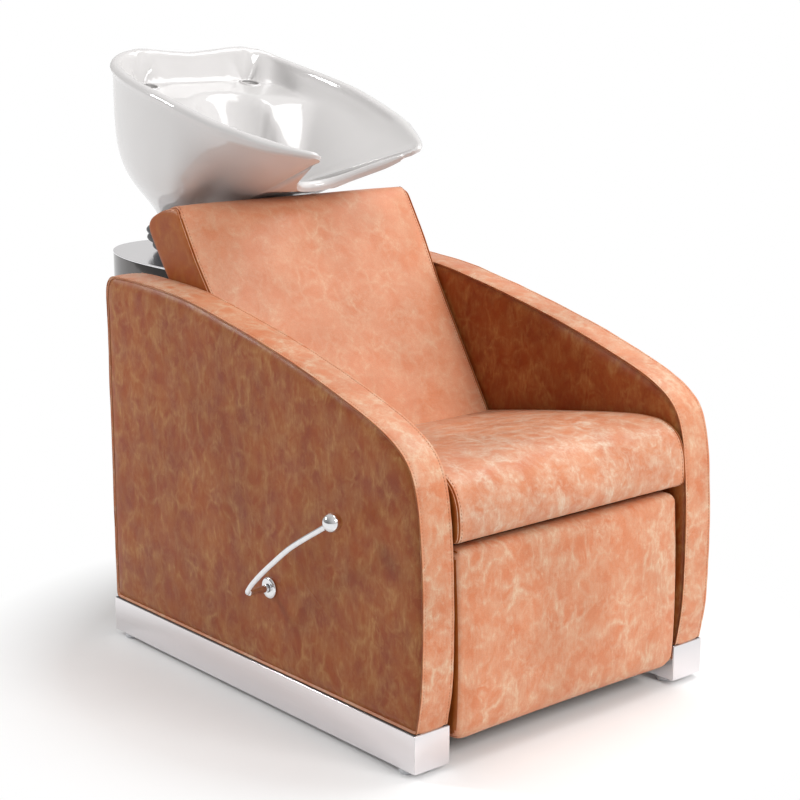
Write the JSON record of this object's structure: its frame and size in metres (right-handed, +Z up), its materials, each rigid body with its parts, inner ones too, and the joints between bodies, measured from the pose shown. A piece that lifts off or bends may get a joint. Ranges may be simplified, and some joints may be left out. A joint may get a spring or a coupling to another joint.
{
  "type": "shampoo backwash unit",
  "caption": "Salon backwash unit: upholstered seat between curved arms on steel plinths, side lever that raises the leg rest, tilting ceramic basin on a steel column.",
  "frame": {"origin": "on the floor, on the mid-plane, level with the rear faces of the arms; the underside of the column's foot plate passes through it", "axes": "+Z up; the sitter faces -Y; +X is the sitter's left, so the lever is on -X"},
  "size_m": [0.7662, 1.254, 1.134],
  "materials": {
    "upholstery": "satin distressed leatherette",
    "stainless": "polished",
    "chrome": "mirror",
    "ceramic": "gloss",
    "gaiter_rubber": "satin",
    "plywood": "raw",
    "frame_steel": "satin black",
    "zinc_steel": "zinc plated",
    "black_plastic": "matte",
    "foot_plastic": "translucent"
  },
  "bodies": {
    "base": {"back_board": "plywood", "back_cushion": "upholstery", "bellows": "gaiter_rubber", "column_foot_plate": "frame_steel", "column_lid": "stainless", "column_shell": "stainless", "front_cross_rail": "frame_steel", "left_arm_cover": "upholstery", "left_arm_frame": "plywood", "left_front_inner_foot": "foot_plastic", "left_front_outer_foot": "foot_plastic", "left_plinth": "stainless", "left_rear_inner_foot": "foot_plastic", "left_rear_outer_foot": "foot_plastic", "left_seat_rail": "frame_steel", "left_side_plate": "frame_steel", "lever_bush": "black_plastic", "lever_rosette": "chrome", "rear_cross_rail": "frame_steel", "right_arm_cover": "upholstery", "right_arm_frame": "plywood", "right_front_inner_foot": "foot_plastic", "right_front_outer_foot": "foot_plastic", "right_plinth": "stainless", "right_rear_inner_foot": "foot_plastic", "right_rear_outer_foot": "foot_plastic", "right_seat_rail": "frame_steel", "right_side_plate": "frame_steel", "seat_board": "plywood", "seat_cushion": "upholstery", "support_post": "frame_steel", "tilt_fork": "frame_steel", "tilt_pin": "zinc_steel", "waste_hose": "black_plastic"},
    "swing_plates": {"left_swing_plate": "zinc_steel", "right_swing_plate": "zinc_steel", "torque_tube": "frame_steel"},
    "lift_bars": {"left_lift_bar": "zinc_steel", "right_lift_bar": "zinc_steel"},
    "guide_links": {"left_guide_link": "zinc_steel", "right_guide_link": "zinc_steel"},
    "control_rods": {"left_control_rod": "zinc_steel", "right_control_rod": "zinc_steel"},
    "leg_rest": {"legrest_cushion": "upholstery", "legrest_board": "plywood", "left_rest_bracket": "frame_steel", "right_rest_bracket": "frame_steel"},
    "lever": {"lever_shaft": "zinc_steel", "lever_rod": "chrome", "lever_ball": "chrome", "lever_crank": "zinc_steel"},
    "drag_link": {"drag_link": "zinc_steel"},
    "basin": {"basin": "ceramic", "tilt_cradle": "frame_steel", "drain_fitting": "chrome", "drain_nut": "chrome"},
    "strainer": {"strainer": "chrome"}
  },
  "joints": [
    {"name": "legrest_lift", "type": "hinge", "parent": "base", "child": "swing_plates", "pos_m": [0, -0.672, 0.241], "axis": [-1, 0, 0], "range_deg": [0, 75]},
    {"name": "lift_bar_pivot", "type": "hinge", "parent": "swing_plates", "child": "lift_bars", "pos_m": [0, -0.57, 0.079], "axis": [-1, 0, 0], "range_deg": [-66, 0]},
    {"name": "guide_link_pivot", "type": "hinge", "parent": "base", "child": "guide_links", "pos_m": [0, -0.718, 0.2795], "axis": [-1, 0, 0], "range_deg": [0, 77]},
    {"name": "control_rod_pivot", "type": "hinge", "parent": "swing_plates", "child": "control_rods", "pos_m": [0, -0.5325, 0.0753], "axis": [-1, 0, 0], "range_deg": [-66, 0]},
    {"name": "leg_rest_pivot", "type": "hinge", "parent": "lift_bars", "child": "leg_rest", "pos_m": [0, -0.833, 0.29], "axis": [-1, 0, 0], "range_deg": [0, 66]},
    {"name": "lever_turn", "type": "hinge", "parent": "base", "child": "lever", "pos_m": [0, -0.517, 0.2287], "axis": [-1, 0, 0], "range_deg": [0, 60.5]},
    {"name": "drag_link_pivot", "type": "hinge", "parent": "lever", "child": "drag_link", "pos_m": [0, -0.4657, 0.2527], "axis": [-1, 0, 0], "range_deg": [-56.5, 0]},
    {"name": "basin_tilt", "type": "hinge", "parent": "base", "child": "basin", "pos_m": [0, 0.1, 0.77], "axis": [-1, 0, 0], "range_deg": [0, 18], "deforming": ["bellows", "waste_hose"]},
    {"name": "strainer_lift", "type": "slide", "parent": "basin", "child": "strainer", "axis": [0, 0, 1], "range_m": [0, 0.03]}
  ],
  "couplings": [
    {"joint": "lift_bar_pivot", "follows": "legrest_lift", "ratio": -0.87333},
    {"joint": "guide_link_pivot", "follows": "legrest_lift", "ratio": 1.022},
    {"joint": "control_rod_pivot", "follows": "legrest_lift", "ratio": -0.8743},
    {"joint": "leg_rest_pivot", "follows": "legrest_lift", "ratio": 0.86667},
    {"joint": "lever_turn", "follows": "legrest_lift", "ratio": 0.8},
    {"joint": "drag_link_pivot", "follows": "legrest_lift", "ratio": -0.7455}
  ]
}
